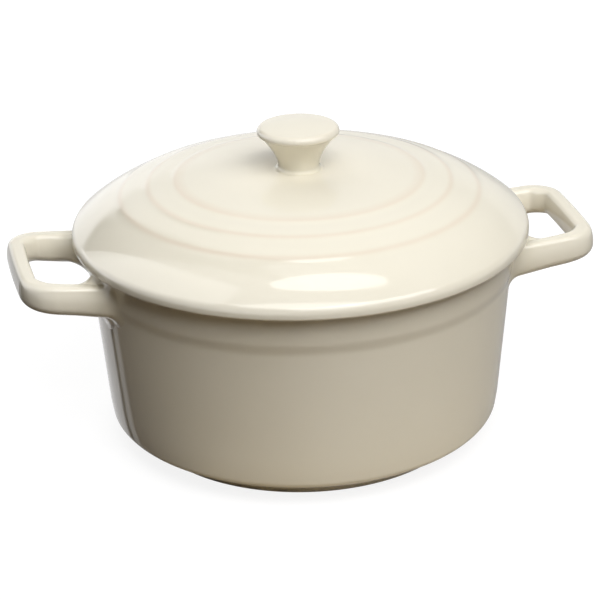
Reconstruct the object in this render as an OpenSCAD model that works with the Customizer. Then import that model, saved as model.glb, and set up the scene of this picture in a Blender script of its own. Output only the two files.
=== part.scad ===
// Round stoneware casserole with two loop handles and a stepped, domed lid with a knob.
// Millimetres, +Z up, origin under the middle of the foot, handles along X.
// The pot and the lid are turned forms. Each handle is a rounded bar swept round a loop,
// and its ends spread out over the wall in a fillet, as slip and glaze leave them.
// The left loop stands a little askew, as a loop that is set on by hand does.

/* [Pot] */
// Outer radius of the wall at the rim, below any collar
rim_r = 113; // [104:0.5:120]
// Outer radius of the wall at its lower corner
base_r = 104.5; // [96:0.5:110]
// Height of the rim above the table
pot_h = 112.5; // [100:0.5:125]
// Thickness of the wall
wall_t = 7.5; // [6:0.1:9]
// Thickness of the floor
floor_t = 7; // [5:0.1:9]
// Rounding of the wall's lower outside corner
corner_r = 5; // [3:0.25:8]
// Rounding between the wall and the floor inside
inner_corner_r = 20; // [12:0.5:26]
// Rounding of the rim
rim_round = 2.4; // [1.5:0.1:3]

/* [Foot] */
// Height of the foot below the wall's lower corner
foot_h = 10; // [6:0.25:12]
// How far the foot stands in from the lower corner
foot_inset = 15.2; // [12:0.1:22]
// Width of the ring that the pot stands on
foot_ring_w = 7; // [5:0.5:10]
// Depth of the hollow inside the foot ring
foot_hollow = 3; // [2:0.25:5]
// Fillet between the foot and the pot's underside
foot_fillet = 4; // [2:0.25:5]
// Draft of the foot's outside, measured across
foot_draft = 1; // [0.5:0.1:2]
// Rounding of the foot ring's edges
foot_round = 0.8; // [0.4:0.1:1.2]

/* [Collar] */
// Height of the raised collar under the rim
collar_h = 25; // [20:0.5:30]
// How far the collar stands out of the wall
collar_t = 1; // [0.5:0.1:1.5]
// Height over which the collar fades into the wall
collar_fade = 8; // [4:0.25:10]

/* [Lid] */
// How far the lid reaches past the wall's radius at the rim
lid_overhang = 7; // [5:0.25:9]
// Thickness of the dome
lid_t = 6.5; // [5:0.1:8]
// How far the lid's edge hangs below the pot's rim
lip_drop = 2.1; // [1:0.1:3]
// Height of the lid's edge up to the start of its rounding
lip_h = 2.5; // [2.4:0.1:4]
// Rounding of the lid's edge, above
lip_r = 6; // [4:0.25:8]
// Rounding of the lid's edge, below
lip_low_r = 1.5; // [0.8:0.1:1.8]
// Width of the lid's edge below the rim
lip_w = 4.2; // [3.8:0.1:4.6]
// Radius of the shoulder in section
shoulder_r = 92.6; // [86:0.1:125]
// Distance of the shoulder's start from the lid's edge
shoulder_w = 48.9; // [38:0.1:52]
// Radius of the crown in section
crown_r = 535.6; // [450:0.1:700]

/* [Lid flange] */
// Depth of the flange that drops into the pot
flange_h = 8; // [6:0.25:10]
// Thickness of the flange
flange_t = 6; // [5:0.25:7]
// Gap between the flange and the pot's mouth
flange_gap = 2; // [1.5:0.1:3]
// Draft of the flange, measured across
flange_draft = 0.8; // [0.4:0.1:1.2]
// Rounding of the flange's lower edge
flange_round = 2; // [1:0.1:2.3]
// Fillet between the dome's underside and the flange
dome_fillet = 8; // [5:0.25:12]

/* [Lid steps] */
// Number of steps in the lid
steps = 3; // [1:1:4]
// Height of one step
step_h = 0.5; // [0.3:0.05:1]
// Width of one step's slope
step_w = 7; // [4:0.5:9]
// Crispness of a step's upper edge
step_power = 4; // [2:0.5:6]
// Distance between two steps
step_pitch = 15; // [11:0.5:17]
// Distance of the outermost step from the lid's edge
step_margin = 25.2; // [22:0.5:30]

/* [Knob] */
// Radius of the knob's cap
cap_r = 21.5; // [18:0.25:25]
// Height of the knob's widest line above the lid
cap_z = 20; // [16:0.25:24]
// Rounding of the cap's edge, above
cap_top_r = 3; // [2:0.1:3.5]
// Rounding of the cap's edge, below
cap_low_r = 1.4; // [0.8:0.1:2]
// Rise of the cap's top from its rounding to its middle
cap_dome = 1.1; // [0.4:0.1:2]
// Radius of the neck at its narrowest
neck_r = 10.8; // [9:0.1:13]
// Fillet between the neck and the lid
neck_fillet = 1.5; // [1:0.1:3]

/* [Handles] */
// Reach of the handle past the wall's radius at the rim
handle_reach = 39.5; // [32:0.1:45]
// How much less the left handle reaches at its front corner than at its back one
left_skew = 4.2; // [0:0.1:6]
// Distance between the two arms' middle lines at the wall
arm_gap_root = 75.2; // [66:0.1:84]
// Distance between the two arms' middle lines at the grip
arm_gap_tip = 71; // [62:0.1:78]
// Bend of the middle line between arm and grip
bend_r = 13; // [9:0.1:16]
// Middle of the arms below the rim, at the wall
handle_drop = 16.4; // [14.5:0.1:20]
// Rise of the handle from the wall to the grip
handle_rise = 4.3; // [0:0.1:6]
// Height of the arms at the wall
arm_h = 17.8; // [14:0.1:19]
// Width of the arms
arm_w = 12; // [10.5:0.1:14]
// Height of the grip
grip_h = 14.2; // [12:0.1:16]
// Width of the grip
grip_w = 10.5; // [9.5:0.1:13]
// Outward bow of the grip
grip_bow = 1; // [0:0.1:3]
// Rounding of the bar's upper edges
top_round = 3; // [2:0.1:3.5]
// Rounding of the bar's lower edges
low_round = 5; // [3:0.1:6]
// Radius of the bar's bulged sides in section
side_r = 21; // [18:0.5:30]
// Distance of the bulge's widest line below the bar's middle, as a share of its height
belly_share = 0.12; // [0:0.01:0.15]
// Fillet where the arms spread over the wall
root_fillet = 5; // [3:0.1:5.5]
// The same fillet on the side of the fingers
web_fillet = 8; // [5.5:0.1:9]

/* [Hidden] */
$fn = 180;
glaze = "#efe8d5";
// Thickness left at the feathered end of a fillet
feather = 0.08;
// Depth of a handle's end inside the wall before it is cut to the wall
root_depth = 3;
// Least flat left on each half of the bar's underside
low_flat = 0.2;
// Share of the left handle's skew by which its whole grip stands nearer
skew_shift_share = 0.25;
// Angle at which the flange's fillet ends under the dome
dome_fillet_end = 75;
// First and last angles of the knob's lower and upper rounding
cap_low_start = -60;
cap_top_start = 10;
cap_top_end = 80;
// Points in a curve's quarter, in a step's slope, along a plain stretch and under the dome
round_steps = 8;
slope_steps = 10;
plain_steps = 7;
under_steps = 12;
// Points along a knob's flare
flare_steps = 14;
// Points in a bar corner's quarter and along its side
bar_steps = 5;
side_steps = 4;
// Points in a bend, along an arm, along half a grip and in a root's fillet
bend_steps = 8;
arm_steps = 5;
grip_steps = 4;
fillet_steps = 8;

wall_h = pot_h - foot_h;
foot_r = base_r - foot_inset;
mouth_r = rim_r - wall_t;
inner_floor_z = foot_hollow + floor_t;
lid_r = rim_r + lid_overhang;
lip_z = pot_h - lip_drop;
round_z = lip_z + lip_h;
shoulder_start_r = lid_r - shoulder_w;
crown_slope = asin(shoulder_start_r / crown_r);
lip_slope = asin((shoulder_w - lip_r + shoulder_r * sin(crown_slope)) / (shoulder_r - lip_r));
lip_top_r = lid_r - lip_r + lip_r * sin(lip_slope);
shoulder_z = round_z + lip_r * cos(lip_slope) - shoulder_r * cos(lip_slope);
crown_z = shoulder_z + (shoulder_r - crown_r) * cos(crown_slope);
neck_foot_r = neck_r + neck_fillet;
flange_r = mouth_r - flange_gap;
flange_in_r = flange_r - flange_t;
flange_z = pot_h - flange_h;

function clamp01(u) = max(0, min(1, u));
// Smooth change from 0 to 1
function ease(u) = (1 - cos(180 * clamp01(u))) / 2;
function arc(cx, cy, r, a0, a1, n) =
    [for (i = [0:n]) let (a = a0 + (a1 - a0) * i / n) [cx + r * cos(a), cy + r * sin(a)]];

// Pot
function plain_r(z) = base_r + (rim_r - base_r) * (z - foot_h) / wall_h;
function wall_r(z) = plain_r(z) + collar_t * ease((z - pot_h + collar_h) / collar_fade);
function inside_r(z) = plain_r(z) - wall_t;
wall_lean = atan((rim_r - base_r) / wall_h);

// Foot ring, underside and lower corner, from the hollow outwards and up to the wall
function foot_line() = concat(
    [[0, foot_hollow], [foot_r - foot_draft - foot_ring_w - foot_hollow, foot_hollow]],
    arc(foot_r - foot_draft - foot_ring_w + foot_round, foot_round, foot_round, 225, 270, round_steps),
    arc(foot_r - foot_draft - foot_round, foot_round, foot_round, 270, 360, round_steps),
    arc(foot_r + foot_fillet, foot_h - foot_fillet, foot_fillet, 180, 90, round_steps),
    arc(base_r - corner_r, foot_h + corner_r, corner_r, 270, 360 - wall_lean, round_steps));

// Wall with its collar, from the lower corner up
function wall_line() = concat(
    [[wall_r(pot_h - collar_h), pot_h - collar_h]],
    [for (i = [1:slope_steps]) let (z = pot_h - collar_h + collar_fade * i / slope_steps) [wall_r(z), z]]);

// Rim, from the outside up to its top, and from there into the mouth
function rim_out() =
    arc(wall_r(pot_h) - rim_round, pot_h - rim_round, rim_round, 0, 90, round_steps);
function rim_in() =
    arc(mouth_r + rim_round, pot_h - rim_round, rim_round, 90, 180, round_steps);

// Inside, from the wall down to the middle of the floor
function inside_line() = concat(
    arc(inside_r(inner_floor_z + inner_corner_r) - inner_corner_r, inner_floor_z + inner_corner_r,
        inner_corner_r, 0, -90, round_steps),
    [[0, inner_floor_z]]);

// The pot filled up, which cuts the handles' ends to the wall
module pot_envelope() {
    rotate_extrude() polygon(concat(foot_line(), wall_line(), rim_out(), [[0, pot_h]]));
}

module pot_body() {
    color(glaze)
    rotate_extrude()
    polygon(concat(foot_line(), wall_line(), rim_out(), rim_in(), inside_line()));
}

// Handles
rise_run = handle_reach - grip_w / 2;
tip_x = rim_r + handle_reach - grip_w / 2;
arm_tip_y = arm_gap_tip / 2;
arm_root_y = arm_gap_root / 2;
root_x = sqrt(rim_r * rim_r - arm_root_y * arm_root_y);
// Lean of the arms towards each other
arm_lean = atan((arm_root_y - arm_tip_y) / (tip_x - root_x));
bend_turn = 90 - arm_lean;
bend_leg = bend_r * tan(bend_turn / 2);
bend_x = tip_x - bend_r;
bend_y = arm_tip_y - bend_leg;
arm_end_x = tip_x - bend_leg * cos(arm_lean);

function along(x) = clamp01((x - root_x) / (tip_x - root_x));
function bar_h(x) = arm_h + (grip_h - arm_h) * along(x);
function bar_w(x) = arm_w + (grip_w - arm_w) * clamp01((x - arm_end_x) / (tip_x - arm_end_x));
function bar_z(x) = pot_h - handle_drop + handle_rise * (x - rim_r) / rise_run;
function arm_y(x) = arm_root_y - (x - root_x) * tan(arm_lean);
function wall_x(y, z) = sqrt(max(0, pow(wall_r(z), 2) - y * y));

// Rounding of the lower edges, held to what the bar's width leaves
function low_r(w) = min(low_round, w / 2 - low_flat);

// Middle of a corner's rounding and the angle at which the bulged side runs into it
function bar_corner(w, h, level, r) =
    let (rise = level + belly_share * h, run = side_r - r)
    [w / 2 - side_r + sqrt(run * run - rise * rise), level, asin(rise / run)];

// Section of the bar, spread outwards by a distance: [across, up] pairs from the underside round
function section(w, h, spread = 0) =
    let (low = bar_corner(w, h, low_r(w) - h / 2, low_r(w)),
         top = bar_corner(w, h, h / 2 - top_round, top_round),
         side = arc(w / 2 - side_r, -belly_share * h, side_r + spread, low[2], top[2], side_steps),
         half = concat(
             arc(low[0], low[1], low_r(w) + spread, -90, low[2], bar_steps),
             [for (i = [1:side_steps - 1]) side[i]],
             arc(top[0], top[1], top_round + spread, top[2], 90, bar_steps)))
    concat(half, [for (i = [len(half) - 1:-1:0]) [-half[i][0], half[i][1]]]);

// Spread of a fillet at a distance off the wall
function fillet_spread(r, off) = off >= r ? 0 : r - sqrt(r * r - (r - off) * (r - off));

// A ring on the root's fillet, which is larger on the side of the fingers
function root_ring(off, depth = 0) =
    let (x = root_x + off,
         plain = section(bar_w(x), bar_h(x)),
         wider = section(bar_w(x), bar_h(x), 1))
    [for (i = [0:len(plain) - 1])
        let (out = wider[i] - plain[i],
             r = root_fillet + (web_fillet - root_fillet) * max(0, -out[0]),
             p = plain[i] + out * fillet_spread(r, off),
             y = arm_y(x) + p[0],
             z = bar_z(x) + p[1])
        [wall_x(y, z) + off - depth, y, z]];

// A ring across the middle line at a point, with the bar's outward side turned by an angle
function path_ring(x, y, turn, bow) =
    [for (p = section(bar_w(x), bar_h(x)))
        [x + bow + p[0] * sin(turn), y + p[0] * cos(turn), bar_z(x) + p[1]]];

fillet_end = asin(1 - feather / web_fillet);
arm_start_x = root_x + web_fillet;

function bow_at(y) = grip_bow * (1 - pow(y / arm_tip_y, 2));

// Half of the loop, from inside the wall to the middle of the grip
half_loop = concat(
    [root_ring(feather, root_depth)],
    [for (i = [0:fillet_steps]) root_ring(web_fillet * (1 - sin(fillet_end * (1 - i / fillet_steps))))],
    [for (i = [1:arm_steps])
        let (u = i / arm_steps, x = arm_start_x + (arm_end_x - arm_start_x) * u)
        arm_ring(x, 1 - u)],
    [for (i = [1:bend_steps])
        let (a = arm_lean + bend_turn * i / bend_steps,
             x = bend_x + bend_r * sin(a), y = bend_y + bend_r * cos(a))
        path_ring(x, y, a, bow_at(y) * ease(i / bend_steps))],
    [for (i = [1:grip_steps])
        let (y = bend_y * (1 - i / grip_steps))
        path_ring(tip_x, y, 90, bow_at(y))]);

// A ring on an arm, which lies along the wall at the fillet and square to the arm at the bend
function arm_ring(x, wall_share) =
    let (across = path_ring(x, arm_y(x), arm_lean, 0),
         sec = section(bar_w(x), bar_h(x)))
    [for (i = [0:len(across) - 1])
        let (y = arm_y(x) + sec[i][0], z = bar_z(x) + sec[i][1],
             follow = wall_x(y, z) - wall_x(arm_y(x), bar_z(x)))
        across[i] + [follow * wall_share, 0, 0]];

// Shift of a point by the handle's skew
function skewed(p, skew) =
    p - [skew * along(p[0]) * (skew_shift_share + p[1] / arm_tip_y / 2), 0, 0];

module loop(skew = 0) {
    n = len(half_loop);
    m = len(half_loop[0]);
    // The mirrored half keeps the same order of points round the bar
    other = [for (i = [n - 2:-1:0]) [for (p = half_loop[i]) [p[0], -p[1], p[2]]]];
    rings = concat(half_loop, other);
    last = len(rings) - 1;
    points = [for (r = rings, p = r) skewed(p, skew)];
    sides = [for (i = [0:last - 1], k = [0:m - 1])
        let (k2 = (k + 1) % m, a = i * m + k, b = i * m + k2, c = a + m, d = b + m)
        each [[a, c, b], [b, c, d]]];
    ends = [[for (k = [0:m - 1]) k], [for (k = [m - 1:-1:0]) last * m + k]];
    polyhedron(points, concat(sides, ends), convexity = 6);
}

module right_handle() {
    color(glaze)
    difference() {
        loop();
        pot_envelope();
    }
}

module left_handle() {
    color(glaze)
    rotate([0, 0, 180])
    difference() {
        loop(left_skew);
        pot_envelope();
    }
}

// Lid
function dome_z(r) =
    r <= shoulder_start_r ? crown_z + sqrt(crown_r * crown_r - r * r)
    : let (x = r - shoulder_start_r + shoulder_r * sin(crown_slope))
      shoulder_z + sqrt(shoulder_r * shoulder_r - x * x);
function step_r(k) = lid_r - step_margin - k * step_pitch;
// Fall of a step over its width, quick at the edge and long at the foot
function lap(u) = let (v = clamp01(u)) pow(1 - v, step_power) * (1 + step_power * v);
function top_z(r, k = 0) =
    k == steps ? dome_z(r) : step_h * lap((r - step_r(k)) / step_w) + top_z(r, k + 1);
knob_z = top_z(neck_foot_r);

// Top of the lid from the knob's seat outwards: terraces and the slopes between them
function stretch(a, b, n) = [for (i = [1:n]) let (r = a + (b - a) * i / n) [r, top_z(r)]];
function lid_top() = concat(
    [[0, knob_z], [neck_foot_r, knob_z]],
    [for (k = [steps - 1:-1:0])
        each concat(
            stretch(k == steps - 1 ? neck_foot_r : step_r(k + 1) + step_w, step_r(k), plain_steps),
            stretch(step_r(k), step_r(k) + step_w, slope_steps))],
    stretch(step_r(0) + step_w, lip_top_r, plain_steps));

function lid_edge() = concat(
    arc(lid_r - lip_r, round_z, lip_r, 90 - lip_slope, 0, round_steps),
    arc(lid_r - lip_low_r, lip_z + lip_low_r, lip_low_r, 0, -90, round_steps),
    arc(lid_r - lip_w, lip_z + lip_low_r / 2, lip_low_r / 2, 270, 180, round_steps));

function flange_line() = concat(
    [[lid_r - lip_w - lip_low_r / 2, pot_h], [flange_r, pot_h]],
    arc(flange_r - flange_draft - flange_round, flange_z + flange_round, flange_round, 0, -90, round_steps),
    arc(flange_in_r + flange_draft + flange_round, flange_z + flange_round, flange_round,
        270, 180, round_steps));

// Underside of the dome, from the flange to the middle
fillet_r = flange_in_r - dome_fillet;
function under_line() = concat(
    arc(fillet_r, dome_z(fillet_r) - lid_t - dome_fillet, dome_fillet, 0, dome_fillet_end, round_steps),
    [for (i = [under_steps - 1:-1:0]) let (r = fillet_r * i / under_steps) [r, dome_z(r) - lid_t]]);

module lid() {
    color(glaze)
    rotate_extrude() polygon(concat(lid_top(), lid_edge(), flange_line(), under_line()));
}

// Knob
cap_line_z = knob_z + cap_z;
flare_z = cap_line_z - cap_low_r;
flare_h = flare_z - knob_z - neck_fillet;
flare_end_r = cap_r - cap_low_r;
cap_top_z = cap_line_z + cap_top_r;

module lid_knob() {
    color(glaze)
    rotate_extrude() polygon(concat(
        [[0, knob_z]],
        arc(neck_foot_r, knob_z + neck_fillet, neck_fillet, 270, 180, round_steps),
        [for (i = [1:flare_steps])
            let (u = i / flare_steps)
            [neck_r + (flare_end_r - neck_r) * u * u, knob_z + neck_fillet + flare_h * u]],
        arc(cap_r - cap_low_r, cap_line_z, cap_low_r, cap_low_start, 0, round_steps),
        arc(cap_r - cap_top_r, cap_line_z, cap_top_r, cap_top_start, cap_top_end, round_steps),
        [for (i = [plain_steps:-1:0])
            let (u = i / plain_steps)
            [(cap_r - cap_top_r) * u, cap_top_z + cap_dome * (1 - u * u)]]));
}

pot_body();
left_handle();
right_handle();
lid();
lid_knob();
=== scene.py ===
"""Cream stoneware baking pot: the glazed pot, its two loop handles and its stepped lid.

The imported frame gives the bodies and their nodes. The classes below hold the sizes in
millimetres, as the part's source does, and MM turns them into Blender's metres.
"""
import logging
import math
from dataclasses import dataclass, field
from enum import Enum
from typing import Callable, Sequence

import bmesh
import bpy
import numpy as np
from bpy.types import ID, Material, Mesh, NodeSocket, NodeTree, Object, World
from mathutils import Matrix, Vector


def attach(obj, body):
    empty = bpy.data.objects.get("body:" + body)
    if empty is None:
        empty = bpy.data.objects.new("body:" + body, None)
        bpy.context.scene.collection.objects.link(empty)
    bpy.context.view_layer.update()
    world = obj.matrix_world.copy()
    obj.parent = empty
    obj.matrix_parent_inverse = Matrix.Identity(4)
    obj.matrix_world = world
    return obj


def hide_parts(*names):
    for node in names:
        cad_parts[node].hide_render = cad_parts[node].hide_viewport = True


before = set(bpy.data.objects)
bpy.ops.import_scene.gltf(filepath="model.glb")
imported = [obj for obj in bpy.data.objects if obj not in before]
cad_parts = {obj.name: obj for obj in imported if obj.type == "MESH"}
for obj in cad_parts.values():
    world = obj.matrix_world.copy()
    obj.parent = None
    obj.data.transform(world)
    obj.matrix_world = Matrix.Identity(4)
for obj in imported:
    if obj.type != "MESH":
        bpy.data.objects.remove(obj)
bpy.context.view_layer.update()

MM = 0.001
FRAME_PX = 600
SENSOR_MM = 36.0
LOG = logging.getLogger("baking_pot")

Point = tuple[float, float]
Colour = tuple[float, float, float]
Share = Callable[[float, float], float]


# Small geometry helpers


def arc(centre: Point, radius: float, start: float, end: float, count: int) -> list[Point]:
    """Points along a circle's arc.

    Args:
        centre: Middle of the circle, as radius from the pot's axis and height.
        radius: Radius of the circle.
        start: First angle in degrees.
        end: Last angle in degrees.
        count: Number of steps between the first point and the last.

    Returns:
        The points in order, both ends included.
    """
    angles = np.radians(np.linspace(start, end, count + 1))
    return [(centre[0] + radius * math.cos(a), centre[1] + radius * math.sin(a)) for a in angles]


def nowhere(radius: float, z: float) -> float:
    """A mark that is nowhere on the piece."""
    return 0.0


def ease(u: float) -> float:
    """Smooth change from 0 to 1 as u goes from 0 to 1."""
    return (1 - math.cos(math.pi * min(max(u, 0.0), 1.0))) / 2


def add_object(name: str, data: ID) -> Object:
    """Put a mesh, a lamp or a camera into the scene, at the origin."""
    made = bpy.data.objects.new(name, data)
    bpy.context.scene.collection.objects.link(made)
    return made


def add_smooth(name: str, mesh: Mesh) -> Object:
    """Put a finished mesh, in metres, into the scene and shade it smooth."""
    mesh.polygons.foreach_set("use_smooth", [True] * len(mesh.polygons))
    return add_object(name, mesh)


# Shader graph


class Socket:
    """A shader socket that can be used in a Python expression."""

    def __init__(self, graph: "Graph", link: NodeSocket | None) -> None:
        """Keep the graph and the socket that the value comes out of, if there is one."""
        self.graph = graph
        self.link = link

    def _math(self, operation: str, *values: "Socket | float", clamp: bool = False) -> "Socket":
        """Add a Math node and return its result."""
        settings = {"operation": operation, "use_clamp": clamp}
        return self.graph.node("ShaderNodeMath", settings, dict(enumerate(values)))

    def __add__(self, other: "Socket | float") -> "Socket":
        """Sum of two values."""
        return self._math("ADD", self, other)

    __radd__ = __add__

    def __sub__(self, other: "Socket | float") -> "Socket":
        """Difference of two values."""
        return self._math("SUBTRACT", self, other)

    def __rsub__(self, other: float) -> "Socket":
        """Difference with the number first."""
        return self._math("SUBTRACT", other, self)

    def __mul__(self, other: "Socket | float") -> "Socket":
        """Product of two values."""
        return self._math("MULTIPLY", self, other)

    __rmul__ = __mul__

    def __truediv__(self, other: "Socket | float") -> "Socket":
        """Quotient of two values."""
        return self._math("DIVIDE", self, other)

    def clamp(self) -> "Socket":
        """The value held between 0 and 1."""
        return self._math("ADD", self, 0.0, clamp=True)


class Graph:
    """The node tree of one material or world."""

    def __init__(self, owner: Material | World) -> None:
        """Turn the owner's nodes on, empty its tree and keep the tree."""
        owner.use_nodes = True
        self.tree = owner.node_tree
        self.tree.nodes.clear()

    def node(self, kind: str, settings: dict | None = None, values: dict | None = None,
             output: int | str = 0) -> Socket:
        """Add a node.

        Args:
            kind: The node's type.
            settings: Its properties, set before its sockets.
            values: Numbers, colours or other sockets, by input name or number.
            output: The output to return, by name or number.

        Returns:
            The chosen output.
        """
        made = self.tree.nodes.new(kind)
        for key, value in (settings or {}).items():
            setattr(made, key, value)
        for key, value in (values or {}).items():
            target = made.inputs[key]
            if isinstance(value, Socket):
                self.tree.links.new(value.link, target)
            else:
                target.default_value = value
        return Socket(self, made.outputs[output] if len(made.outputs) else None)

    def mix(self, share: Socket, first: Socket | Colour, second: Socket | Colour) -> Socket:
        """Mix two colours: the first where the share is 0, the second where it is 1."""
        values = {0: share}
        for key, colour in ((6, first), (7, second)):
            values[key] = colour if isinstance(colour, Socket) else (*colour, 1.0)
        return self.node("ShaderNodeMix", {"data_type": "RGBA"}, values, 2)

    def mix_shaders(self, share: Socket, first: Socket, second: Socket) -> Socket:
        """Mix two surfaces: the first where the share is 0, the second where it is 1."""
        return self.node("ShaderNodeMixShader", values={0: share, 1: first, 2: second})

    def matt(self, colour: Colour) -> Socket:
        """A plain matt surface."""
        return self.node("ShaderNodeBsdfDiffuse", values={"Color": (*colour, 1.0)})

    def grey(self, level: Socket) -> Socket:
        """A grey whose three parts have the same level."""
        return self.node("ShaderNodeCombineColor", values={0: level, 1: level, 2: level})

    def vector(self, operation: str, *values: Socket | Colour, output: str = "Vector") -> Socket:
        """Add a Vector Math node and return its result."""
        settings = {"operation": operation}
        return self.node("ShaderNodeVectorMath", settings, dict(enumerate(values)), output)

    def length(self, place: Socket) -> Socket:
        """Distance of a place from the origin."""
        return self.vector("LENGTH", place, output="Value")

    def ramp(self, value: Socket, limits: Point) -> Socket:
        """Smooth change from 0 to 1 between two limits."""
        settings = {"interpolation_type": "SMOOTHSTEP"}
        values = {"Value": value, "From Min": limits[0], "From Max": limits[1]}
        return self.node("ShaderNodeMapRange", settings, values, "Result")

    def ray(self, kind: str) -> Socket:
        """1 for a kind of ray of the Light Path node, and 0 for the others."""
        return self.node("ShaderNodeLightPath", output=f"Is {kind} Ray")

    def noise(self, place: Socket, size_mm: float, detail: float = 2.0) -> Socket:
        """Noise whose patches are about size_mm wide."""
        values = {"Vector": place, "Scale": 1 / (size_mm * MM), "Detail": detail, "Roughness": 0.5}
        return self.node("ShaderNodeTexNoise", {"noise_dimensions": "3D"}, values, "Fac")

    def place(self) -> Socket:
        """Object coordinates, in metres."""
        return self.node("ShaderNodeTexCoord", output="Object")


# Finishes


class Mark(Enum):
    """Named point attributes that say where the glaze is thin, thick or missing."""

    THIN = "glaze_thin"
    POOL = "glaze_pool"
    BARE = "bare_clay"

    def write(self, mesh: Mesh, values: np.ndarray) -> None:
        """Give each point of a mesh its value of the mark."""
        made = mesh.attributes.new(self.value, "FLOAT", "POINT")
        made.data.foreach_set("value", values.astype(np.float32))


@dataclass(frozen=True)
class Glaze:
    """Gloss cream glaze over a buff stoneware body."""

    name: str = "cream_glaze"
    cream: Colour = (0.85, 0.802, 0.675)
    deep: Colour = (0.80, 0.755, 0.61)
    thin: Colour = (0.79, 0.68, 0.545)
    clay: Colour = (0.56, 0.43, 0.30)
    clay_dark: float = 0.8
    roughness: float = 0.055
    roughness_change: float = 0.02
    clay_roughness: float = 0.72
    ior: float = 1.52
    cloud_start: float = 0.35
    cloud_share: float = 0.5
    pool_share: float = 0.8
    thin_share: float = 0.35
    thin_cloud: float = 0.5
    cloud_mm: float = 38.0
    wave_mm: float = 17.0
    wave_depth_mm: float = 0.030
    peel_mm: float = 2.6
    peel_depth_mm: float = 0.0022
    grain_mm: float = 0.7
    grain_depth_mm: float = 0.05

    def make(self) -> Material:
        """Build the glaze's material."""
        material = bpy.data.materials.new(self.name)
        graph = Graph(material)
        place = graph.place()
        thin, pool, bare = (
            graph.node("ShaderNodeAttribute", {"attribute_name": mark.value}, output="Fac")
            for mark in Mark
        )
        cloud = graph.noise(place, self.cloud_mm)
        wave = graph.noise(place, self.wave_mm, 1.0)
        peel = graph.noise(place, self.peel_mm, 1.0)
        grain = graph.noise(place, self.grain_mm)

        depth = ((cloud - self.cloud_start) * self.cloud_share + pool * self.pool_share).clamp()
        colour = graph.mix(depth, self.cream, self.deep)
        drawn = (thin * (self.thin_share + self.thin_cloud * cloud)).clamp()
        colour = graph.mix(drawn, colour, self.thin)
        fired = graph.mix(grain, self.clay, tuple(self.clay_dark * part for part in self.clay))
        colour = graph.mix(bare, colour, fired)

        gloss = self.roughness + (cloud - 0.5) * self.roughness_change
        roughness = gloss * (1 - bare) + bare * self.clay_roughness
        height = wave * self.wave_depth_mm + peel * self.peel_depth_mm
        height = height + bare * grain * self.grain_depth_mm
        values = {"Height": height, "Distance": MM, "Strength": 1.0}
        bump = graph.node("ShaderNodeBump", values=values)
        surface = graph.node("ShaderNodeBsdfPrincipled", values={
            "Base Color": colour, "Roughness": roughness, "Normal": bump, "IOR": self.ior})
        graph.node("ShaderNodeOutputMaterial", values={"Surface": surface})
        return material


# Turned forms


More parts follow.
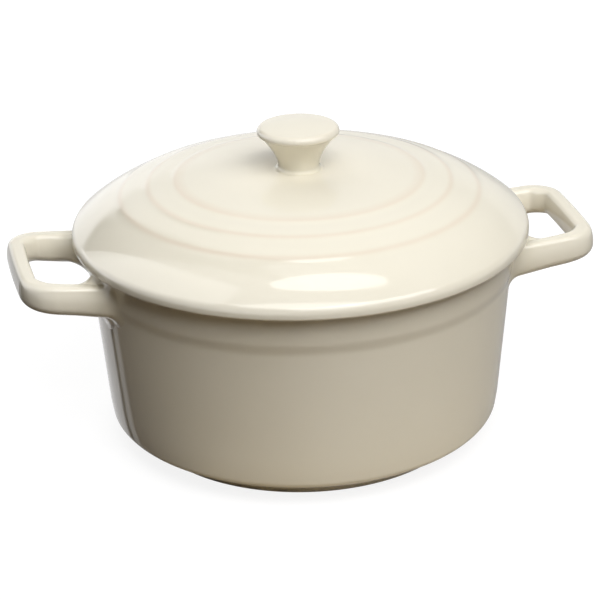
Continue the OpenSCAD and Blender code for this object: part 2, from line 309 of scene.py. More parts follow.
@dataclass
class Lathe:
    """Turns a closed outline about the pot's axis with a Geometry Nodes tree."""

    segments: int = 288
    path_radius: float = 1.0
    merge_mm: float = 0.002
    shortest_mm: float = 0.25
    thin_curve: Point = (0.22, 0.95)
    pool_curve: Point = (0.05, 0.4)
    tree: NodeTree = field(init=False)
    inputs: dict[str, str] = field(init=False, default_factory=dict)

    def __post_init__(self) -> None:
        """Build the tree that sweeps the outline round a circle."""
        tree = bpy.data.node_groups.new("turned_form", "GeometryNodeTree")
        kinds = {"Geometry": "Geometry", "Segments": "Int", "Path Radius": "Float",
                 "Merge Distance": "Float", "Material": "Material"}
        for name, kind in kinds.items():
            made = tree.interface.new_socket(name, in_out="INPUT", socket_type=f"NodeSocket{kind}")
            self.inputs[name] = made.identifier
        tree.interface.new_socket("Geometry", in_out="OUTPUT", socket_type="NodeSocketGeometry")
        given, result = (tree.nodes.new(f"NodeGroup{kind}") for kind in ("Input", "Output"))
        outline, circle, sweep, merge, realize, paint = (
            tree.nodes.new(f"GeometryNode{kind}") for kind in (
                "MeshToCurve", "CurvePrimitiveCircle", "CurveToMesh", "MergeByDistance",
                "RealizeInstances", "SetMaterial"))
        for source, end, target, start in (
                (given, "Geometry", outline, "Mesh"),
                (given, "Segments", circle, "Resolution"),
                (given, "Path Radius", circle, "Radius"),
                (circle, "Curve", sweep, "Curve"),
                (outline, "Curve", sweep, "Profile Curve"),
                (sweep, "Mesh", merge, "Geometry"),
                (given, "Merge Distance", merge, "Distance"),
                (merge, "Geometry", realize, "Geometry"),
                (realize, "Geometry", paint, "Geometry"),
                (given, "Material", paint, "Material"),
                (paint, "Geometry", result, "Geometry")):
            tree.links.new(source.outputs[end], target.inputs[start])
        self.tree = tree

    def curvature(self, outline: np.ndarray) -> np.ndarray:
        """Bend of a closed outline at each point, positive where it is convex.

        Args:
            outline: Points in mm, counter-clockwise about the solid.

        Returns:
            Curvature in 1/mm.
        """
        before = outline - np.roll(outline, 1, axis=0)
        after = np.roll(outline, -1, axis=0) - outline
        cross = before[:, 0] * after[:, 1] - before[:, 1] * after[:, 0]
        turn = np.arctan2(cross, (before * after).sum(axis=1))
        length = (np.linalg.norm(before, axis=1) + np.linalg.norm(after, axis=1)) / 2
        return turn / np.maximum(length, self.shortest_mm)

    @staticmethod
    def share(value: np.ndarray, limits: Point) -> np.ndarray:
        """The value's place between two limits, from 0 to 1."""
        return np.clip((value - limits[0]) / (limits[1] - limits[0]), 0, 1)

    def turn(self, name: str, outline: Sequence[Point], material: Material,
             bare: Share = nowhere, worn: Share = nowhere) -> Object:
        """Make a turned piece.

        Args:
            name: Name of the piece.
            outline: Closed outline as radius and height in mm, counter-clockwise.
            material: Its finish.
            bare: Share of bare clay at a radius and height in mm.
            worn: Share of thin glaze at a radius and height in mm, besides the sharp edges.

        Returns:
            The finished object, at the origin.
        """
        points = np.array(outline, float)
        bend = self.curvature(points)
        count = len(points)
        mesh = bpy.data.meshes.new(name)
        mesh.from_pydata([(r * MM - self.path_radius, -z * MM, 0) for r, z in outline],
                         [(i, (i + 1) % count) for i in range(count)], [])
        drawn = [worn(r, z) for r, z in outline]
        marks = {
            Mark.THIN: np.maximum(self.share(bend, self.thin_curve), drawn),
            Mark.POOL: self.share(-bend, self.pool_curve),
            Mark.BARE: np.array([bare(r, z) for r, z in outline]),
        }
        for mark, values in marks.items():
            mark.write(mesh, values)
        draft = add_object(f"{name}_outline", mesh)
        modifier = draft.modifiers.new("turn", "NODES")
        modifier.node_group = self.tree
        settings = {"Segments": self.segments, "Path Radius": self.path_radius,
                    "Merge Distance": self.merge_mm * MM, "Material": material}
        for key, value in settings.items():
            modifier[self.inputs[key]] = value
        evaluated = draft.evaluated_get(bpy.context.evaluated_depsgraph_get())
        turned = bpy.data.meshes.new_from_object(evaluated)
        bpy.data.objects.remove(draft)
        turned.name = name
        self.face_outwards(turned)
        return add_smooth(name, turned)

    @staticmethod
    def face_outwards(mesh: Mesh) -> None:
        """Turn a closed mesh's faces outwards, all of them alike."""
        shape = bmesh.new()
        shape.from_mesh(mesh)
        if shape.calc_volume(signed=True) < 0:
            bmesh.ops.reverse_faces(shape, faces=shape.faces)
        shape.to_mesh(mesh)
        shape.free()


# Pot


@dataclass
class Pot:
    """The pot's turned body: wall, collar, rim, floor and foot."""

    rim_r: float = 113.0
    base_r: float = 104.5
    height: float = 112.5
    wall_t: float = 7.5
    floor_t: float = 7.0
    corner_r: float = 5.0
    inner_corner_r: float = 20.0
    rim_round: float = 2.4
    foot_h: float = 10.0
    foot_inset: float = 15.2
    foot_ring_w: float = 7.0
    foot_hollow: float = 3.0
    foot_fillet: float = 4.0
    foot_draft: float = 1.0
    foot_round: float = 0.8
    collar_h: float = 25.0
    collar_t: float = 1.0
    collar_fade: float = 8.0
    bare_h: float = 0.5
    round_steps: int = 12

    def plain_r(self, z: float) -> float:
        """Outer radius of the wall at a height, without the collar."""
        share = (z - self.foot_h) / (self.height - self.foot_h)
        return self.base_r + (self.rim_r - self.base_r) * share

    def wall_r(self, z: float) -> float:
        """Outer radius of the wall at a height, with the collar."""
        above = z - (self.height - self.collar_h)
        return self.plain_r(z) + self.collar_t * ease(above / self.collar_fade)

    def wall_x(self, y: float, z: float) -> float:
        """Distance of the wall along X at a place beside the pot's middle."""
        return math.sqrt(max(self.wall_r(z) ** 2 - y * y, 0.0))

    def outline(self) -> list[Point]:
        """Closed outline of the body, from the middle of the hollow under it, counter-clockwise."""
        n = self.round_steps
        foot_r = self.base_r - self.foot_inset
        ring_r = foot_r - self.foot_draft
        hollow_r = ring_r - self.foot_ring_w
        lean = math.degrees(math.atan((self.rim_r - self.base_r) / (self.height - self.foot_h)))
        collar_z = self.height - self.collar_h
        floor_z = self.foot_hollow + self.floor_t
        inner_z = floor_z + self.inner_corner_r
        mouth_r = self.rim_r - self.wall_t
        rim_z = self.height - self.rim_round
        points = [(0.0, self.foot_hollow), (hollow_r - self.foot_hollow, self.foot_hollow)]
        points += arc((hollow_r + self.foot_round, self.foot_round), self.foot_round, 225, 270, n)
        points += arc((ring_r - self.foot_round, self.foot_round), self.foot_round, 270, 360, n)
        points += arc((foot_r + self.foot_fillet, self.foot_h - self.foot_fillet), self.foot_fillet,
                      180, 90, n)
        points += arc((self.base_r - self.corner_r, self.foot_h + self.corner_r), self.corner_r,
                      270, 360 - lean, n)
        wall_z = self.foot_h + self.corner_r
        heights = [wall_z + (collar_z - wall_z) * i / n for i in range(1, n + 1)]
        heights += [collar_z + self.collar_fade * i / (2 * n) for i in range(1, 2 * n + 1)]
        points += [(self.wall_r(z), z) for z in heights]
        points += arc((self.wall_r(self.height) - self.rim_round, rim_z), self.rim_round, 0, 90, n)
        points += arc((mouth_r + self.rim_round, rim_z), self.rim_round, 90, 180, n)
        points += arc((self.plain_r(inner_z) - self.wall_t - self.inner_corner_r, inner_z),
                      self.inner_corner_r, 0, -90, 2 * n)
        points.append((0.0, floor_z))
        return points

    def bare(self, radius: float, z: float) -> float:
        """Share of bare clay: the foot's standing ring is wiped clean of glaze."""
        return 1.0 if z < self.bare_h else 0.0

    def build(self, lathe: Lathe, material: Material) -> Object:
        """Turn the body and let it stand for its CAD node."""
        piece = lathe.turn("pot_body_glazed", self.outline(), material, self.bare)
        return seat(piece, "pot", "pot_body")


# Handles


class Side(Enum):
    """The two handles, by the sign of X on their side."""

    LEFT = -1
    RIGHT = 1


@dataclass
class Handle:
    """A loop of rounded bar that grows out of the wall."""

    pot: Pot
    reach: float = 39.5
    left_skew: float = 4.2
    skew_shift_share: float = 0.25
    gap_root: float = 75.2
    gap_tip: float = 71.0
    bend_r: float = 13.0
    bend_swell: float = 2.0
    swell_round: float = 0.8
    drop: float = 16.4
    rise: float = 4.3
    arm_h: float = 17.8
    arm_w: float = 12.0
    grip_h: float = 14.2
    grip_w: float = 10.5
    grip_bow: float = 1.0
    top_round: float = 3.0
    low_round: float = 5.0
    side_r: float = 21.0
    belly_share: float = 0.12
    root_fillet: float = 5.0
    web_fillet: float = 21.0
    root_depth: float = 1.5
    sink: float = 0.03
    edge_start: float = 0.7
    edge_thin: float = 0.12
    root_pool: float = 0.5
    corner_steps: int = 10
    side_steps: int = 10
    fillet_steps: int = 24
    arm_steps: int = 10
    bend_steps: int = 18
    grip_steps: int = 12

    def __post_init__(self) -> None:
        """Work out the loop's main points from its sizes."""
        self.tip_x = self.pot.rim_r + self.reach - self.grip_w / 2
        self.root_y, self.tip_y = self.gap_root / 2, self.gap_tip / 2
        self.root_x = math.sqrt(self.pot.rim_r ** 2 - self.root_y ** 2)
        self.lean = math.atan((self.root_y - self.tip_y) / (self.tip_x - self.root_x))
        self.bend_turn = math.pi / 2 - self.lean
        leg = self.bend_r * math.tan(self.bend_turn / 2)
        self.bend_x, self.bend_y = self.tip_x - self.bend_r, self.tip_y - leg
        self.arm_end_x = self.tip_x - leg * math.cos(self.lean)

    def bar_h(self, x: float) -> float:
        """Height of the bar at a distance from the pot's middle."""
        along = min(max((x - self.root_x) / (self.tip_x - self.root_x), 0), 1)
        return self.arm_h + (self.grip_h - self.arm_h) * along

    def bar_w(self, x: float) -> float:
        """Width of the bar at a distance from the pot's middle."""
        along = min(max((x - self.arm_end_x) / (self.tip_x - self.arm_end_x), 0), 1)
        return self.arm_w + (self.grip_w - self.arm_w) * along

    def bar_z(self, x: float) -> float:
        """Height of the bar's middle above the table."""
        run = self.reach - self.grip_w / 2
        return self.pot.height - self.drop + self.rise * (x - self.pot.rim_r) / run

    def arm_y(self, x: float) -> float:
        """Distance of an arm's middle line from the loop's middle."""
        return self.root_y - (x - self.root_x) * math.tan(self.lean)

    def section(self, x: float, spread: float = 0.0, swell: float = 0.0) -> np.ndarray:
        """Outline of the bar across its middle line: bulged sides and rounded edges.

        Args:
            x: Where the section is, which sets its size.
            spread: How far the outline is spread outwards.
            swell: How much wider it is than the plain bar, and rounder on top.

        Returns:
            Points as across and up, in mm, counter-clockwise from the underside.
        """
        half_w, half_h = (self.bar_w(x) + swell) / 2, self.bar_h(x) / 2
        top_round = self.top_round + self.swell_round * swell
        belly = (half_w - self.side_r, -self.belly_share * 2 * half_h)
        corners = []
        for level, radius in ((self.low_round - half_h, self.low_round),
                              (half_h - top_round, top_round)):
            rise, run = level - belly[1], self.side_r - radius
            across = belly[0] + math.sqrt(run ** 2 - rise ** 2)
            corners.append(((across, level), radius + spread, math.degrees(math.asin(rise / run))))
        (low, low_r, tuck), (top, top_r, lean) = corners
        half = arc(low, low_r, -90, tuck, self.corner_steps)
        half += arc(belly, self.side_r + spread, tuck, lean, self.side_steps)[1:-1]
        half += arc(top, top_r, lean, 90, self.corner_steps)
        return np.array(half + [(-across, up) for across, up in reversed(half)])

    def root_ring(self, off: float, depth: float = 0.0) -> np.ndarray:
        """A ring on the root's fillet, which is larger on the side of the fingers.

        Args:
            off: Distance of the ring off the wall.
            depth: How far the ring is pushed back into the wall.

        Returns:
            Points in mm.
        """
        x = self.root_x + off
        plain = self.section(x)
        ring = []
        for (across, up), out in zip(plain, self.section(x, 1.0) - plain):
            radius = self.root_fillet + (self.web_fillet - self.root_fillet) * max(0.0, -out[0])
            left = max(radius - max(off, 0.0), 0.0)
            spread = radius - math.sqrt(radius ** 2 - left ** 2)
            y, z = self.arm_y(x) + across + out[0] * spread, self.bar_z(x) + up + out[1] * spread
            ring.append((self.pot.wall_x(y, z) + off - depth, y, z))
        return np.array(ring)

    def path_ring(self, x: float, y: float, turn: float, bow: float = 0.0,
                  swell: float = 0.0) -> np.ndarray:
        """A ring square to the middle line, whose outward side is turned by an angle."""
        section = self.section(x, swell=swell)
        return np.column_stack([
            x + bow + section[:, 0] * math.sin(turn),
            y + section[:, 0] * math.cos(turn),
            self.bar_z(x) + section[:, 1]])

    def arm_ring(self, x: float, wall_share: float) -> np.ndarray:
        """A ring on an arm, which follows the wall near it and is square at the bend."""
        ring = self.path_ring(x, self.arm_y(x), self.lean * (1 - wall_share))
        for i, (across, up) in enumerate(self.section(x)):
            follow = self.pot.wall_x(self.arm_y(x) + across, self.bar_z(x) + up) - self.root_x
            ring[i, 0] += follow * wall_share
        return ring

    def bow_at(self, y: float) -> float:
        """Outward bow of the grip beside its middle."""
        return self.grip_bow * (1 - (y / self.tip_y) ** 2)

    def half_loop(self) -> list[np.ndarray]:
        """Rings from inside the wall to the middle of the grip."""
        rings = [self.root_ring(0.0, self.root_depth), self.root_ring(0.0, self.sink)]
        for i in range(1, self.fillet_steps + 1):
            off = self.web_fillet * (1 - math.cos(math.pi / 2 * i / self.fillet_steps))
            rings.append(self.root_ring(off))
        start = self.root_x + self.web_fillet
        for i in range(1, self.arm_steps + 1):
            u = i / self.arm_steps
            rings.append(self.arm_ring(start + (self.arm_end_x - start) * u, 1 - u))
        for i in range(1, self.bend_steps + 1):
            a = self.lean + self.bend_turn * i / self.bend_steps
            y = self.bend_y + self.bend_r * math.cos(a)
            bow = self.bow_at(y) * ease(i / self.bend_steps)
            swell = self.bend_swell * math.sin(math.pi * i / self.bend_steps) ** 2
            rings.append(self.path_ring(self.bend_x + self.bend_r * math.sin(a), y, a, bow, swell))
        for i in range(1, self.grip_steps + 1):
            y = self.bend_y * (1 - i / self.grip_steps)
            rings.append(self.path_ring(self.tip_x, y, math.pi / 2, self.bow_at(y)))
        return rings

    def build(self, side: Side, material: Material) -> Object:
        """Sweep the loop and let it stand for its CAD node.

        Args:
            side: Which handle it is.
            material: Its finish.

        Returns:
            The handle's object.
        """
        half = self.half_loop()
        other = [ring * (1, -1, 1) for ring in reversed(half[:-1])]
        rings = half + other
        around = len(rings[0])
        points = np.vstack(rings)
        if side is Side.LEFT:
            along = np.clip((points[:, 0] - self.root_x) / (self.tip_x - self.root_x), 0, 1)
            skew = self.skew_shift_share + points[:, 1] / self.tip_y / 2
            points[:, 0] -= self.left_skew * along * skew
        points *= (side.value, side.value, 1)
        faces = []
        for i in range(len(rings) - 1):
            for k in range(around):
                a, b = i * around + k, i * around + (k + 1) % around
                faces.append((a, b, b + around, a + around))
        last = (len(rings) - 1) * around
        faces += [tuple(range(around)), tuple(range(last, last + around))]
        name = f"{side.name.lower()}_handle"
        mesh = bpy.data.meshes.new(f"{name}_glazed")
        mesh.from_pydata((points * MM).tolist(), [], faces)
        shape = bmesh.new()
        shape.from_mesh(mesh)
        bmesh.ops.recalc_face_normals(shape, faces=shape.faces)
        shape.to_mesh(mesh)
        shape.free()
        self.mark_glaze(mesh, around, len(rings))
        mesh.materials.append(material)
        return seat(add_smooth(f"{name}_glazed", mesh), "pot", name)

    def mark_glaze(self, mesh: Mesh, around: int, count: int) -> None:
        """Mark where the glaze is thin on the bar's edges and pooled in its roots."""
        up = self.section(self.root_x)[:, 1]
        edge = np.clip(2 * up / self.bar_h(self.root_x) - self.edge_start, 0, 1)
        thin, pool = np.zeros(around * count), np.zeros(around * count)
        for i in range(count):
            from_end = min(i, count - 1 - i)
            root = max(0.0, 1 - from_end / (self.fillet_steps + 2))
            ring = slice(i * around, (i + 1) * around)
            thin[ring] = edge * self.edge_thin * (1 - root)
            pool[ring] = self.root_pool * ease(2 * root)
        Mark.THIN.write(mesh, thin)
        Mark.POOL.write(mesh, pool)
        Mark.BARE.write(mesh, np.zeros(around * count))


# Lid


@dataclass
class Lid:
    """The stepped dome with its hanging edge and the flange under it."""

    pot: Pot
    overhang: float = 7.0
    thickness: float = 6.5
    lip_drop: float = 2.1
    lip_h: float = 2.5
    lip_r: float = 6.0
    lip_low_r: float = 1.5
    lip_w: float = 4.2
    shoulder_r: float = 92.6
    shoulder_w: float = 48.9
    crown_r: float = 535.6
    flange_h: float = 8.0
    flange_t: float = 6.0
    flange_gap: float = 2.0
    flange_draft: float = 0.8
    flange_round: float = 2.0
    dome_fillet: float = 8.0
    dome_fillet_turn: float = 75.0
    dome_share: float = 0.97
    steps: int = 3
    step_h: float = 0.5
    step_w: float = 7.0
    step_power: int = 4
    step_pitch: float = 14.65
    step_margin: float = 26.6
    worn_out: float = 0.5
    worn_w: float = 1.5
    round_steps: int = 12
    slope_steps: int = 22
    slope_crowding: float = 0.7
    plain_steps: int = 10

    def __post_init__(self) -> None:
        """Work out where crown, shoulder and edge meet."""
        self.r = self.pot.rim_r + self.overhang
        self.lip_z = self.pot.height - self.lip_drop
        self.round_z = self.lip_z + self.lip_h
        self.shoulder_start = self.r - self.shoulder_w
        crown_sin = self.shoulder_start / self.crown_r
        lip_run = self.shoulder_w - self.lip_r + self.shoulder_r * crown_sin
        lip_sin = lip_run / (self.shoulder_r - self.lip_r)
        self.crown_sin = crown_sin
        self.lip_slope = math.degrees(math.asin(lip_sin))
        self.lip_top_r = self.r - self.lip_r + self.lip_r * lip_sin
        lip_cos, crown_cos = math.sqrt(1 - lip_sin ** 2), math.sqrt(1 - crown_sin ** 2)
        self.shoulder_z = self.round_z + (self.lip_r - self.shoulder_r) * lip_cos
        self.crown_z = self.shoulder_z + (self.shoulder_r - self.crown_r) * crown_cos

    def dome_z(self, r: float) -> float:
        """Height of the plain dome at a radius."""
        if r <= self.shoulder_start:
            return self.crown_z + math.sqrt(self.crown_r ** 2 - r * r)
        x = r - self.shoulder_start + self.shoulder_r * self.crown_sin
        return self.shoulder_z + math.sqrt(self.shoulder_r ** 2 - x * x)

    def step_edge(self, index: int) -> float:
        """Radius of a step's upper edge, counted from the outside."""
        return self.r - self.step_margin - index * self.step_pitch

    def lap(self, u: float) -> float:
        """Fall of a step over its width: quick at the edge and long at the foot."""
        u = min(max(u, 0.0), 1.0)
        return (1 - u) ** self.step_power * (1 + self.step_power * u)

    def top_z(self, r: float) -> float:
        """Height of the lid's top at a radius, with its steps."""
        laps = (self.lap((r - self.step_edge(k)) / self.step_w) for k in range(self.steps))
        return self.dome_z(r) + self.step_h * sum(laps)

    def worn(self, radius: float, z: float) -> float:
        """Share of thin glaze, which draws back from the steps' upper edges."""
        if z < self.round_z:
            return 0.0
        middles = (self.step_edge(k) + self.worn_out for k in range(self.steps))
        return sum(math.exp(-((radius - middle) / self.worn_w) ** 2) for middle in middles)

    def outline(self, seat_r: float) -> list[Point]:
        """Closed outline of the lid, counter-clockwise from the middle of its underside.

        Args:
            seat_r: Radius of the flat that the knob sits on.

        Returns:
            Points as radius and height in mm.
        """
        n = self.round_steps
        flange_r = self.pot.rim_r - self.pot.wall_t - self.flange_gap
        inner_r = flange_r - self.flange_t
        flange_z = self.pot.height - self.flange_h
        fillet_r = inner_r - self.dome_fillet
        low = self.lip_low_r
        under = [fillet_r * self.dome_share * i / (2 * n) for i in range(2 * n + 1)]
        points = [(r, self.dome_z(r) - self.thickness) for r in under]
        points += arc((fillet_r, self.dome_z(fillet_r) - self.thickness - self.dome_fillet),
                      self.dome_fillet, self.dome_fillet_turn, 0, n)
        tip_in, tip_z = self.flange_draft + self.flange_round, flange_z + self.flange_round
        points += arc((inner_r + tip_in, tip_z), self.flange_round, 180, 270, n)
        points += arc((flange_r - tip_in, tip_z), self.flange_round, -90, 0, n)
        points += [(flange_r, self.pot.height), (self.r - self.lip_w - low / 2, self.pot.height)]
        points += arc((self.r - self.lip_w, self.lip_z + low / 2), low / 2, 180, 270, n)
        points += arc((self.r - low, self.lip_z + low), low, -90, 0, n)
        points += arc((self.r - self.lip_r, self.round_z), self.lip_r, 0, 90 - self.lip_slope, n)
        stops = [self.lip_top_r]
        for k in range(self.steps):
            edge = self.step_edge(k)
            stops += [edge + self.step_w, edge]
        stops.append(seat_r)
        for i, (outer, inner) in enumerate(zip(stops, stops[1:])):
            count = self.slope_steps if i % 2 else self.plain_steps
            for j in range(1, count + 1):
                u = j / count
                u = 1 - (1 - u) ** self.slope_crowding if i % 2 else u
                r = outer + (inner - outer) * u
                points.append((r, self.top_z(r)))
        points.append((0.0, self.top_z(seat_r)))
        return points

    def build(self, lathe: Lathe, material: Material, seat_r: float) -> Object:
        """Turn the lid, with a flat for the knob, and let it stand for its CAD node."""
        piece = lathe.turn("lid_glazed", self.outline(seat_r), material, worn=self.worn)
        return seat(piece, "lid", "lid")


# Knob


@dataclass
class Knob:
    """The waisted knob in the middle of the lid."""

    lid: Lid
    cap_r: float = 21.5
    cap_z: float = 20.0
    cap_top_r: float = 3.0
    cap_low_r: float = 1.4
    cap_dome: float = 1.1
    neck_r: float = 10.8
    neck_fillet: float = 2.1
    flare_power: float = 1.6
    sink: float = 0.02
    flare_steps: int = 24
    round_steps: int = 12

    @property
    def seat_r(self) -> float:
        """Radius at which the neck's fillet meets the lid."""
        return self.neck_r + self.neck_fillet

    def outline(self) -> list[Point]:
        """Closed outline of the knob, counter-clockwise from the middle of its seat."""
        n = self.round_steps
        base = self.lid.top_z(self.seat_r)
        line_z = base + self.cap_z
        fillet_z = base + self.neck_fillet
        end_r, end_z = self.cap_r - self.cap_low_r, line_z - self.cap_low_r
        points = [(0.0, base - self.sink)]
        points += arc((self.seat_r, fillet_z), self.neck_fillet, 270, 180, n)
        for i in range(1, self.flare_steps + 1):
            u = i / self.flare_steps
            r = self.neck_r + (end_r - self.neck_r) * u ** self.flare_power
            points.append((r, fillet_z + (end_z - fillet_z) * u))
        points += arc((self.cap_r - self.cap_low_r, line_z), self.cap_low_r, -60, 0, n)
        points += arc((self.cap_r - self.cap_top_r, line_z), self.cap_top_r, 10, 80, n)
        top_r = self.cap_r - self.cap_top_r
        for i in range(n + 1):
            u = 1 - i / n
            points.append((top_r * u, line_z + self.cap_top_r + self.cap_dome * (1 - u * u)))
        return points

    def build(self, lathe: Lathe, material: Material) -> Object:
        """Turn the knob and let it stand for its CAD node."""
        piece = lathe.turn("lid_knob_glazed", self.outline(), material)
        return seat(piece, "lid", "lid_knob")


# Frame


def seat(piece: Object, body: str, node: str) -> Object:
    """Make a finished piece ride on a body and stand for a CAD node."""
    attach(piece, body)
    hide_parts(node)
    return piece


# Studio


@dataclass(frozen=True)
class View:
    """The photograph's camera, in the pot's own frame."""

    azimuth: float = -10.87
    elevation: float = 23.543
    distance: float = 1050.0
    focal_px: float = 1964.76
    roll: float = -1.369
    aim_z: float = 80.0
    aim_px: Point = (302.03, 279.87)

    def direction(self, azimuth: float, elevation: float) -> Vector:
        """Fixed direction from the pot, its azimuth counted from the photograph's, to the right."""
        a, e = math.radians(self.azimuth + azimuth), math.radians(elevation)
        return Vector((math.sin(a) * math.cos(e), -math.cos(a) * math.cos(e), math.sin(e)))

    def along(self, graph: Graph, place: Socket, azimuth: float) -> Socket:
        """How far a place lies in the direction of an azimuth."""
        return graph.vector("DOT_PRODUCT", place, tuple(self.direction(azimuth, 0)), output="Value")

    def bearing(self, graph: Graph, place: Socket, azimuth: float) -> Socket:
        """Cosine of the angle between a level place and the direction of an azimuth."""
        return self.along(graph, place, azimuth) / graph.length(place)

    @staticmethod
    def swing(first: Vector, second: Vector, angle: float) -> tuple[Vector, Vector]:
        """Turn two square directions by an angle, the first one towards the second."""
        cos, sin = math.cos(angle), math.sin(angle)
        return first * cos + second * sin, second * cos - first * sin

    def build(self) -> None:
        """Make the camera and make it the scene's."""
        data = bpy.data.cameras.new("camera")
        data.sensor_width = SENSOR_MM
        data.lens = self.focal_px * SENSOR_MM / FRAME_PX
        camera = add_object("camera", data)
        bpy.context.scene.camera = camera
        target = Vector((0, 0, self.aim_z * MM))
        back, right = self.direction(0, self.elevation), self.direction(90, 0)
        ahead = -back
        up = right.cross(ahead)
        yaw, pitch = (math.atan((px - FRAME_PX / 2) / self.focal_px) for px in self.aim_px)
        right, ahead = self.swing(right, ahead, yaw)
        ahead, up = self.swing(ahead, up, pitch)
        right, up = self.swing(right, up, math.radians(self.roll))
        turn = Matrix((right, up, -ahead)).transposed().to_4x4()
        camera.matrix_world = Matrix.Translation(target + back * self.distance * MM) @ turn


class LampShape(Enum):
    """Shapes of the lamps."""

    SQUARE = "RECTANGLE"
    OVAL = "ELLIPSE"


@dataclass(frozen=True)
class Softbox:
    """A soft lamp that faces a point over the pot.

    Its span is in degrees, across and up. It can be left out of mirror images, or light nothing.
    """

    name: str
    azimuth: float
    elevation: float
    distance: float
    span: Point
    radiance: float
    spin: float = 0.0
    aim_z: float = 120.0
    overhead: float = 60.0
    shape: LampShape = LampShape.SQUARE
    mirrored: bool = True
    lights: bool = True

    def build(self, view: View) -> None:
        """Hang the lamp, its azimuth counted from the view's, to the right."""
        data = bpy.data.lights.new(self.name, "AREA")
        data.shape = self.shape.value
        data.size, data.size_y = (
            2 * self.distance * MM * math.tan(math.radians(angle / 2)) for angle in self.span)
        data.energy = self.radiance * math.pi * data.size * data.size_y
        lamp = add_object(self.name, data)
        lamp.visible_glossy = self.mirrored
        lamp.visible_diffuse = self.lights
        out = view.direction(self.azimuth, self.elevation)
        above = self.elevation > self.overhead
        side = view.direction(90, 0) if above else Vector((0, 0, 1)).cross(out)
        across = (side - out * side.dot(out)).normalized()
        turn = Matrix((across, out.cross(across), out)).transposed().to_4x4()
        spin = Matrix.Rotation(math.radians(self.spin), 4, "Z")
        place = Vector((0, 0, self.aim_z * MM)) + out * self.distance * MM
        lamp.matrix_world = Matrix.Translation(place) @ turn @ spin


def between(first: Socket | float, second: Socket | float, share: Socket) -> Socket:
    """A level that goes from the first to the second as the share goes from 0 to 1."""
    return first + (second - first) * share


@dataclass(frozen=True)
class Backdrop:
    """The room as the glaze mirrors it: a low white backdrop, with darker walls over it.

    A pair says where a soft change starts and ends. The top is a sine of the elevation, a
    turn is a cosine of the angle to an azimuth, and low, high and dark are levels, 1 for white.
    """

    view: View
    white: Colour = (1.0, 1.0, 1.0)
    room: Colour = (0.01, 0.01, 0.01)
    top: Point = (0.24, 0.31)
    left_turn: Point = (-0.1, 0.5)
    low_left: float = 1.8
    low_right: float = 0.85
    high_left: float = 1.6
    high_right: float = 0.02
    slit_azimuth: float = -142.0
    slit_turn: Point = (0.974, 0.9925)
    slit_dark: float = 0.95

    def leftness(self, graph: Graph, place: Socket) -> Socket:
        """How far a level place is on the bright left side, from 0 to 1."""
        return graph.ramp(self.view.bearing(graph, place, -90), self.left_turn)

    def level(self, graph: Graph, way: Socket) -> Socket:
        """Brightness in a direction of length 1."""
        height = graph.node("ShaderNodeSeparateXYZ", values={0: way}, output="Z")
        flat = graph.vector("MULTIPLY", way, (1, 1, 0))
        over = graph.ramp(height, self.top)
        slit = graph.ramp(self.view.bearing(graph, flat, self.slit_azimuth), self.slit_turn)
        low = between(self.low_right, self.low_left, self.leftness(graph, flat))
        rightness = self.view.along(graph, way, 90) * 0.5 + 0.5
        high = between(self.high_left, self.high_right, rightness) * (1 - slit * self.slit_dark)
        return between(low, high, over)

    def build(self) -> None:
        """Make the world: white to the camera, the room in mirror images, dim as a light."""
        world = bpy.data.worlds.new("studio")
        bpy.context.scene.world = world
        graph = Graph(world)
        way = graph.node("ShaderNodeTexCoord", output="Generated")
        mirror = (graph.ray("Glossy") + graph.ray("Transmission")).clamp()
        colour = graph.mix(mirror, self.room, graph.grey(self.level(graph, way)))
        colour = graph.mix(graph.ray("Camera"), colour, self.white)
        light = graph.node("ShaderNodeBackground", values={"Color": colour, "Strength": 1.0})
        graph.node("ShaderNodeOutputWorld", values={"Surface": light})


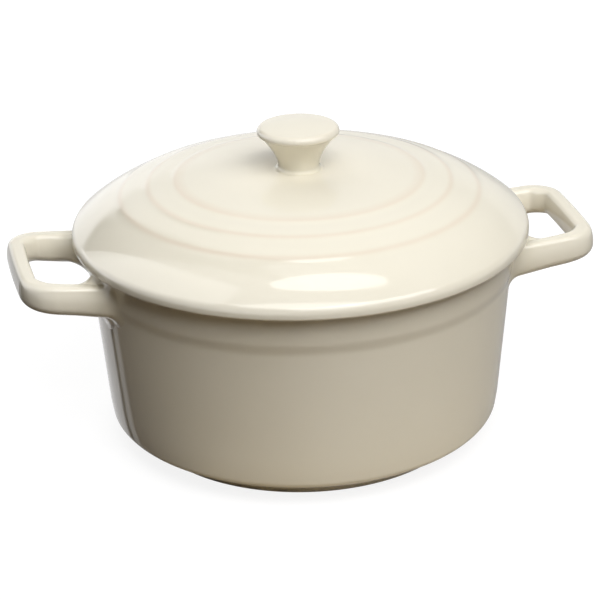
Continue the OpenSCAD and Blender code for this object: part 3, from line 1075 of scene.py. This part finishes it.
@dataclass(frozen=True)
class Table:
    """A wide table: white to the camera, with a soft shadow partly cast by the lamps and partly
    painted, uneven to the glaze, dim as a light.

    A reach is a distance from the pot's axis in mm, a turn is a cosine of the angle to an
    azimuth, and white, painted shadow, line, left, right and glow are levels, 1 for white.
    """

    view: View
    backdrop: Backdrop
    size: float = 6000.0
    white: float = 1.1
    # Painted shadow: how much darker the fixed round under the pot is, and the reach over which it
    # fades out.
    painted_shadow_depth: float = 0.08
    painted_shadow_reach: Point = (84.0, 120.0)
    lit_share: float = 0.16
    lit_colour: Colour = (0.9, 0.9, 0.9)
    near_colour: Colour = (0.47, 0.39, 0.27)
    far_colour: Colour = (0.11, 0.08, 0.05)
    near_reach: Point = (180.0, 320.0)
    dark_turn: Point = (0.2, 0.9)
    fan_front: float = 77.0
    fan_left: float = 64.0
    line_start: Point = (0.575, 0.62)
    line_end: Point = (0.655, 0.685)
    line_level: float = 0.6
    left_turn: Point = (0.695, 0.735)
    near_left: float = 0.10
    behind_left: float = 0.9
    right_turn: Point = (0.64, 0.76)
    near_right: float = 0.45
    behind_right: float = 0.6
    side_turn: Point = (-0.2, 0.3)
    glow: float = 0.8
    glow_reach: Point = (600.0, 1600.0)

    @staticmethod
    def reached(graph: Graph, place: Socket, limits: Point) -> Socket:
        """Smooth change from 0 to 1 between two distances from the pot's axis, in mm."""
        return graph.ramp(graph.length(place), (limits[0] * MM, limits[1] * MM))

    def mirrored(self, graph: Graph, place: Socket) -> Socket:
        """The table as the glaze mirrors it: white behind the pot, dim beside and before it.

        On the left the white starts at a line that fans out from a place beside the pot, with
        a thin paler line before it.

        Args:
            graph: The table's graph.
            place: The place on the table, from the pot's middle.

        Returns:
            The table's brightness, where 1 is white.
        """
        front, left = (self.view.direction(azimuth, 0) * MM for azimuth in (0, -90))
        fan = tuple(front * self.fan_front + left * self.fan_left)
        turn = self.view.bearing(graph, graph.vector("SUBTRACT", place, fan), 180)
        line = graph.ramp(turn, self.line_start) * (1 - graph.ramp(turn, self.line_end))
        left_white = graph.ramp(turn, self.left_turn) + line * self.line_level
        glow = self.reached(graph, place, self.glow_reach) * self.backdrop.leftness(graph, place)
        left = between(self.near_left, self.behind_left, left_white) + glow * self.glow
        right_white = graph.ramp(self.view.bearing(graph, place, 180), self.right_turn)
        right = between(self.near_right, self.behind_right, right_white)
        side = graph.ramp(self.view.bearing(graph, place, 90), self.side_turn)
        return between(left, right, side)

    def material(self) -> Material:
        """Make the table's material."""
        material = bpy.data.materials.new("table")
        graph = Graph(material)
        place = graph.place()
        glossy, camera, through = (graph.ray(kind) for kind in ("Glossy", "Camera", "Transmission"))
        away = self.reached(graph, place, self.near_reach)
        # Painted shadow: the white that the camera sees is made darker in a fixed round about the
        # pot's foot; the lit share mixed in below adds the lamps' real shadow.
        shadow = 1 - self.reached(graph, place, self.painted_shadow_reach)
        plain = self.white - self.painted_shadow_depth * shadow
        bright = graph.grey(between(plain, self.mirrored(graph, place), glossy))
        white = graph.node("ShaderNodeEmission", values={"Color": bright, "Strength": 1.0})
        lit = graph.mix_shaders((1 - away) * self.lit_share, white, graph.matt(self.lit_colour))
        shown = graph.mix_shaders(glossy, lit, white)
        left = graph.ramp(self.view.bearing(graph, place, -90), self.dark_turn)
        near, far = graph.matt(self.near_colour), graph.matt(self.far_colour)
        dim = graph.mix_shaders((away + left).clamp(), near, far)
        surface = graph.mix_shaders((camera + glossy + through).clamp(), dim, shown)
        graph.node("ShaderNodeOutputMaterial", values={"Surface": surface})
        return material

    def build(self) -> None:
        """Lay the table under the pot."""
        half = self.size * MM / 2
        mesh = bpy.data.meshes.new("table")
        corners = [(-half, -half, 0), (half, -half, 0), (half, half, 0), (-half, half, 0)]
        mesh.from_pydata(corners, [], [(0, 1, 2, 3)])
        mesh.materials.append(self.material())
        add_smooth("table", mesh)


@dataclass(frozen=True)
class Studio:
    """The camera, the soft lamps, the room and the table."""

    view: View = field(default_factory=View)
    lamps: tuple[Softbox, ...] = (
        Softbox("overhead_window", azimuth=80, elevation=82.2, distance=1200, span=(32.5, 13.5),
                radiance=3.0, spin=4, shape=LampShape.OVAL, lights=False),
        Softbox("high_softbox", azimuth=0, elevation=62, distance=1400, span=(44, 24),
                radiance=3.5),
        Softbox("front_softbox", azimuth=36, elevation=50, distance=1400, span=(60, 26),
                radiance=4.1),
        Softbox("low_softbox", azimuth=36, elevation=34, distance=1400, span=(40, 20),
                radiance=1.45),
        Softbox("back_softbox", azimuth=-160, elevation=48, distance=1200, span=(50, 40),
                radiance=1.9, mirrored=False),
        Softbox("left_softbox", azimuth=-98.5, elevation=34.5, distance=1200, span=(72, 43),
                radiance=1.5, spin=54, lights=False),
    )

    def build(self) -> None:
        """Make the camera, the lamps, the world and the table."""
        self.view.build()
        for lamp in self.lamps:
            lamp.build(self.view)
        backdrop = Backdrop(self.view)
        backdrop.build()
        Table(self.view, backdrop).build()
        bpy.context.scene.view_settings.view_transform = "Standard"


def main() -> None:
    """Build the pot, its handles, the lid and the knob, and the studio round them."""
    logging.basicConfig(level=logging.INFO, format="%(name)s: %(message)s")
    Studio().build()
    glaze = Glaze().make()
    lathe = Lathe()
    pot = Pot()
    lid = Lid(pot)
    knob = Knob(lid)
    handle = Handle(pot)
    made = [pot.build(lathe, glaze), lid.build(lathe, glaze, knob.seat_r), knob.build(lathe, glaze)]
    made += [handle.build(side, glaze) for side in Side]
    for piece in made:
        LOG.info("%s: %d faces", piece.name, len(piece.data.polygons))


if __name__ == "__main__":
    main()
